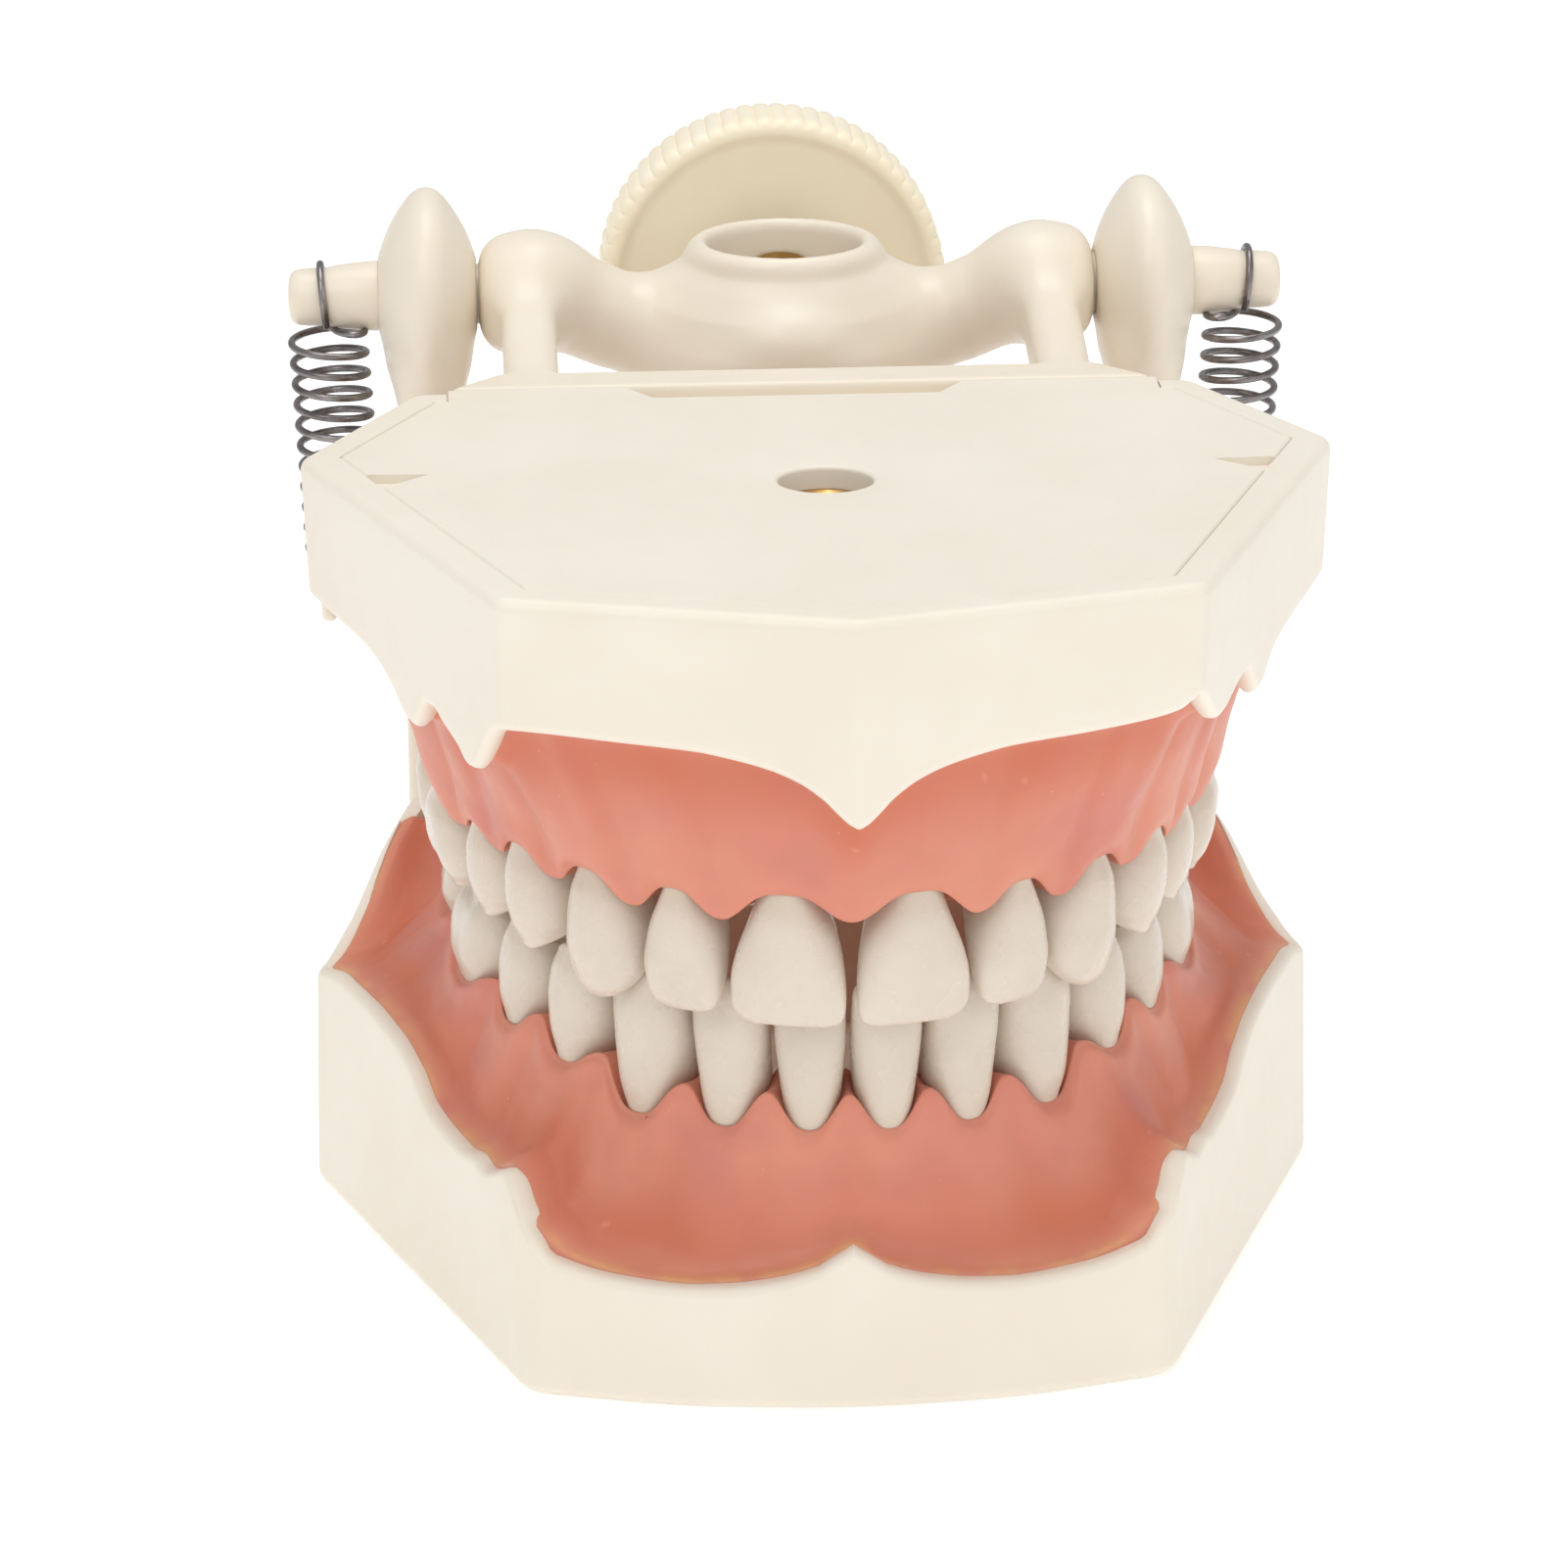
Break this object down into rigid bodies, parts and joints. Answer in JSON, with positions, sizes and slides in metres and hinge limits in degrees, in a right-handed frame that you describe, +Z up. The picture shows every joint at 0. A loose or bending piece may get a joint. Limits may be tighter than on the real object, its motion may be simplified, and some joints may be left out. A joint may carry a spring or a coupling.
{
  "type": "typodont model",
  "caption": "Dental teaching model: two jaws with soft gums and removable teeth on a spring-held hinge, with a knob that clamps a mounting rod.",
  "frame": {"origin": "mouth of the fixing hole in the underside of the lower jaw, which stands on the surface", "axes": "+Z up along the fixing holes, -Y to the front of the mouth, +X to the model's left"},
  "size_m": [0.0836, 0.114, 0.0764],
  "materials": {
    "base_plastic": "satin ivory ABS",
    "frame_plastic": "satin ivory moulded plastic",
    "knob_plastic": "yellower ivory moulded plastic, fine ribs",
    "gum": "soft salmon-pink silicone rubber, semi-gloss",
    "tooth_resin": "polished melamine resin, tooth shade",
    "spring_steel": "drawn spring wire",
    "screw_steel": "plain steel screw",
    "insert_brass": "threaded insert"
  },
  "bodies": {
    "lower_jaw": {"lower_base": "base_plastic", "lower_frame": "frame_plastic", "lower_gum": "gum", "lower_insert": "insert_brass", "lower_left_canine": "tooth_resin", "lower_left_central_incisor": "tooth_resin", "lower_left_first_molar": "tooth_resin", "lower_left_first_premolar": "tooth_resin", "lower_left_lateral_incisor": "tooth_resin", "lower_left_second_molar": "tooth_resin", "lower_left_second_premolar": "tooth_resin", "lower_right_canine": "tooth_resin", "lower_right_central_incisor": "tooth_resin", "lower_right_first_molar": "tooth_resin", "lower_right_first_premolar": "tooth_resin", "lower_right_lateral_incisor": "tooth_resin", "lower_right_second_molar": "tooth_resin", "lower_right_second_premolar": "tooth_resin", "lower_tooth_screws": "screw_steel", "spring_left": "spring_steel", "spring_right": "spring_steel"},
    "upper_jaw": {"upper_base": "base_plastic", "upper_frame": "frame_plastic", "upper_gum": "gum", "upper_insert": "insert_brass", "upper_left_canine": "tooth_resin", "upper_left_central_incisor": "tooth_resin", "upper_left_first_molar": "tooth_resin", "upper_left_first_premolar": "tooth_resin", "upper_left_lateral_incisor": "tooth_resin", "upper_left_second_molar": "tooth_resin", "upper_left_second_premolar": "tooth_resin", "upper_right_canine": "tooth_resin", "upper_right_central_incisor": "tooth_resin", "upper_right_first_molar": "tooth_resin", "upper_right_first_premolar": "tooth_resin", "upper_right_lateral_incisor": "tooth_resin", "upper_right_second_molar": "tooth_resin", "upper_right_second_premolar": "tooth_resin", "upper_tooth_screws": "screw_steel", "hinge_pin_left": "frame_plastic", "hinge_pin_right": "frame_plastic", "clamp_insert": "insert_brass"},
    "clamp_tip": {"clamp_pad": "frame_plastic"},
    "clamp_wheel": {"clamp_screw": "screw_steel", "clamp_knob": "knob_plastic"}
  },
  "joints": [
    {"name": "jaw_hinge", "type": "hinge", "parent": "lower_jaw", "child": "upper_jaw", "pos_m": [0, 0.051, 0.066], "axis": [-1, 0, 0], "range_deg": [0, 60]},
    {"name": "clamp_feed", "type": "slide", "parent": "upper_jaw", "child": "clamp_tip", "axis": [0, -1, 0], "range_m": [0, 0.00375]},
    {"name": "clamp_turn", "type": "hinge", "parent": "clamp_tip", "child": "clamp_wheel", "pos_m": [0, 0.06, 0.0613], "axis": [0, -1, 0], "range_deg": [0, 1080]}
  ],
  "couplings": [
    {"joint": "clamp_feed", "follows": "clamp_turn", "m_per_rad": 0.00019894}
  ]
}
